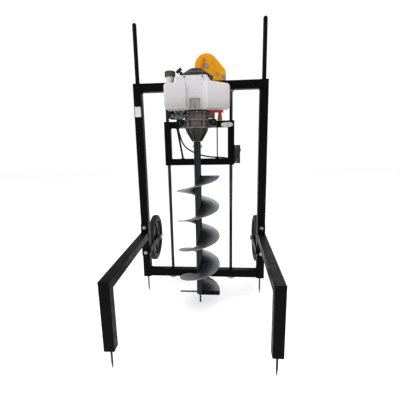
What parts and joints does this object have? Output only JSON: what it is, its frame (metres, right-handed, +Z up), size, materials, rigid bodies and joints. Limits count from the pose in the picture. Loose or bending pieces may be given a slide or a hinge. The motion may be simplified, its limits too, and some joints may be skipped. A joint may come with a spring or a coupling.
{
  "type": "trolley earth auger",
  "caption": "Two-wheeled frame on ground spikes with a sliding engine carriage on two guide rods, an earth bit below it and a hand winch on top.",
  "frame": {"origin": "on the ground under the middle of the machine, at the level of the spike tips", "axes": "+Z up along the posts and guide rods, +X along the wheel axles to the machine's right as seen from the front, +Y from the engine side towards the wheels"},
  "size_m": [0.69, 0.9267, 1.366],
  "materials": {
    "frame_black": "satin",
    "zinc_steel": "satin",
    "rod_steel": "polished",
    "spike_steel": "satin",
    "wheel_grey": "matte",
    "tyre_black": "matte",
    "winch_yellow": "gloss",
    "pawl_orange": "gloss",
    "gear_steel": "satin",
    "wire_rope": "satin",
    "grip_black": "gloss",
    "bush_plastic": "matte",
    "mount_rubber": "matte",
    "gearcase_grey": "satin",
    "engine_grey": "satin",
    "cast_aluminium": "cast",
    "cover_black": "satin",
    "shroud_red": "gloss",
    "muffler_black": "matte",
    "tank_white": "translucent satin",
    "cap_black": "satin",
    "control_black": "satin",
    "lever_red": "satin",
    "cable_black": "satin",
    "bit_black": "gloss",
    "bit_steel": "worn"
  },
  "bodies": {
    "frame": {"frame_posts": "frame_black", "top_rail": "frame_black", "bottom_rail": "frame_black", "end_plates": "frame_black", "push_handles": "frame_black", "guide_rods": "rod_steel", "rod_fixings": "zinc_steel", "leg_beams": "frame_black", "leg_uprights": "frame_black", "leg_bolts": "zinc_steel", "ground_spikes": "spike_steel", "axle_carriers": "frame_black", "axle_fixings": "zinc_steel", "winch_front_plate": "winch_yellow", "winch_rear_plate": "winch_yellow", "winch_base": "winch_yellow", "winch_bolts": "zinc_steel", "drum_axle": "zinc_steel", "winch_rope": "wire_rope"},
    "left_wheel": {"left_wheel": "wheel_grey", "left_tyre": "tyre_black"},
    "right_wheel": {"right_wheel": "wheel_grey", "right_tyre": "tyre_black"},
    "drum": {"rope_drum": "gear_steel", "drum_gear": "gear_steel", "ratchet_wheel": "gear_steel", "rope_windings": "wire_rope"},
    "crank": {"pinion_shaft": "gear_steel", "crank_arm": "zinc_steel"},
    "grip": {"crank_grip": "grip_black"},
    "pawl": {"winch_pawl": "pawl_orange"},
    "carriage": {"carriage_sleeves": "frame_black", "carriage_top_bar": "frame_black", "carriage_bottom_bar": "frame_black", "slide_bushes": "bush_plastic", "stay_rods": "frame_black", "rope_lug": "frame_black", "engine_arms": "frame_black", "rubber_mounts": "mount_rubber", "mount_bolts": "zinc_steel", "gearcase": "gearcase_grey", "crankcase": "engine_grey", "starter_housing": "cover_black", "cylinder": "cast_aluminium", "cylinder_shroud": "shroud_red", "muffler": "muffler_black", "carburettor": "cast_aluminium", "air_filter": "cover_black", "fuel_tank": "tank_white", "throttle_housing": "control_black", "throttle_cable": "cable_black"},
    "drill": {"output_shaft": "gear_steel", "drill_tube": "bit_black", "drive_pin": "zinc_steel", "drill_flights": "bit_steel", "cutting_head": "bit_black"},
    "throttle": {"throttle_lever": "lever_red"},
    "stop": {"stop_button": "lever_red"},
    "starter": {"starter_handle": "grip_black"},
    "cap": {"fuel_cap": "cap_black"}
  },
  "joints": [
    {"name": "carriage_slide", "type": "slide", "parent": "frame", "child": "carriage", "axis": [0, 0, 1], "range_m": [-0.53721, 0.13132], "deforming": ["winch_rope"]},
    {"name": "drill_spin", "type": "hinge", "parent": "carriage", "child": "drill", "pos_m": [-0.007, -0.00212, 0.4], "axis": [0, 0, 1], "continuous": true},
    {"name": "drum_spin", "type": "hinge", "parent": "frame", "child": "drum", "pos_m": [0.034, 0.14188, 1.16], "axis": [0, 1, 0], "range_deg": [-1360, 340]},
    {"name": "crank_spin", "type": "hinge", "parent": "frame", "child": "crank", "pos_m": [0.08659, 0.14188, 1.12179], "axis": [0, 1, 0], "range_deg": [-1120, 4520]},
    {"name": "crank_grip_spin", "type": "hinge", "parent": "crank", "child": "grip", "pos_m": [-0.07711, 0.23188, 1.084], "axis": [0, 1, 0], "continuous": true},
    {"name": "pawl_swing", "type": "hinge", "parent": "frame", "child": "pawl", "pos_m": [0.0225, 0.10488, 1.189], "axis": [0, 1, 0], "range_deg": [0, 21.5]},
    {"name": "left_wheel_spin", "type": "hinge", "parent": "frame", "child": "left_wheel", "pos_m": [-0.305, 0.32688, 0.245], "axis": [1, 0, 0], "continuous": true},
    {"name": "right_wheel_spin", "type": "hinge", "parent": "frame", "child": "right_wheel", "pos_m": [0.305, 0.32688, 0.245], "axis": [1, 0, 0], "continuous": true},
    {"name": "throttle_squeeze", "type": "hinge", "parent": "carriage", "child": "throttle", "pos_m": [0.184, 0.10588, 0.752], "axis": [0, -1, 0], "range_deg": [0, 14], "stiffness_Nm_per_rad": 0.08, "springref_deg": -14.32},
    {"name": "stop_press", "type": "slide", "parent": "carriage", "child": "stop", "axis": [0, 1, 0], "range_m": [0, 0.002], "stiffness_N_per_m": 400, "springref_m": -0.001},
    {"name": "starter_pull", "type": "slide", "parent": "carriage", "child": "starter", "axis": [-0.6293, 0, 0.7771], "range_m": [0, 0.45], "stiffness_N_per_m": 25, "springref_m": -0.05},
    {"name": "fuel_cap_turn", "type": "hinge", "parent": "carriage", "child": "cap", "pos_m": [-0.11, -0.06312, 1.09], "axis": [0, 0, 1], "range_deg": [0, 90]}
  ],
  "couplings": [
    {"joint": "drum_spin", "follows": "carriage_slide", "rad_per_m": 43.86},
    {"joint": "crank_spin", "follows": "carriage_slide", "rad_per_m": -146.2}
  ]
}
